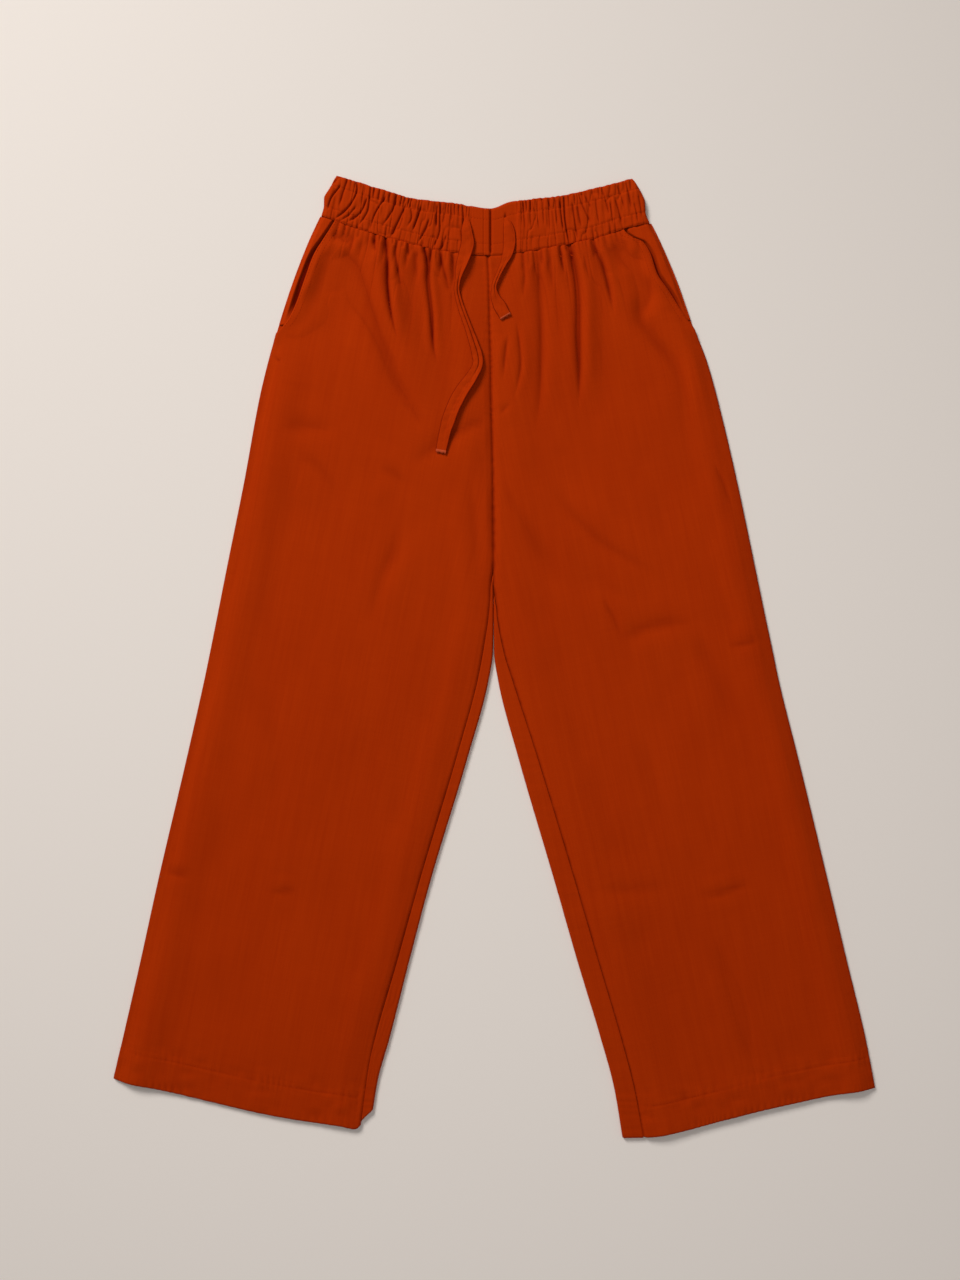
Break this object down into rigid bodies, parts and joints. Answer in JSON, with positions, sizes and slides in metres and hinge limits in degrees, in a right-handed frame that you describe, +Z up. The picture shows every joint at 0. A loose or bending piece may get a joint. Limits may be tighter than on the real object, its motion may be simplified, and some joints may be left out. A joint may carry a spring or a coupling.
{
  "type": "palazzo trousers laid flat",
  "caption": "Wide straight-leg trousers laid flat, with a gathered elastic waistband, flat centre front, slant side pockets, deep hems and a flat drawstring with free ends.",
  "frame": {"origin": "centre of the laid-out garment's outline, on the surface that it lies on", "axes": "+Y along the garment to the waist, +X to the wearer's left leg, +Z up from the surface"},
  "size_m": [0.7779, 0.9825, 0.0145],
  "materials": {
    "trouser_cloth": "matt slubby plain-weave cotton, rust orange",
    "drawstring_cloth": "the same cotton folded into a flat stitched tie, with raw ends"
  },
  "bodies": {
    "root": {"back_leg_right": "trouser_cloth", "back_leg_left": "trouser_cloth", "front_leg_right": "trouser_cloth", "front_leg_left": "trouser_cloth", "pocket_facing_right": "trouser_cloth", "pocket_facing_left": "trouser_cloth", "waistband_back": "trouser_cloth", "waistband_front": "trouser_cloth", "drawstring_right": "drawstring_cloth", "drawstring_left": "drawstring_cloth"}
  },
  "joints": []
}
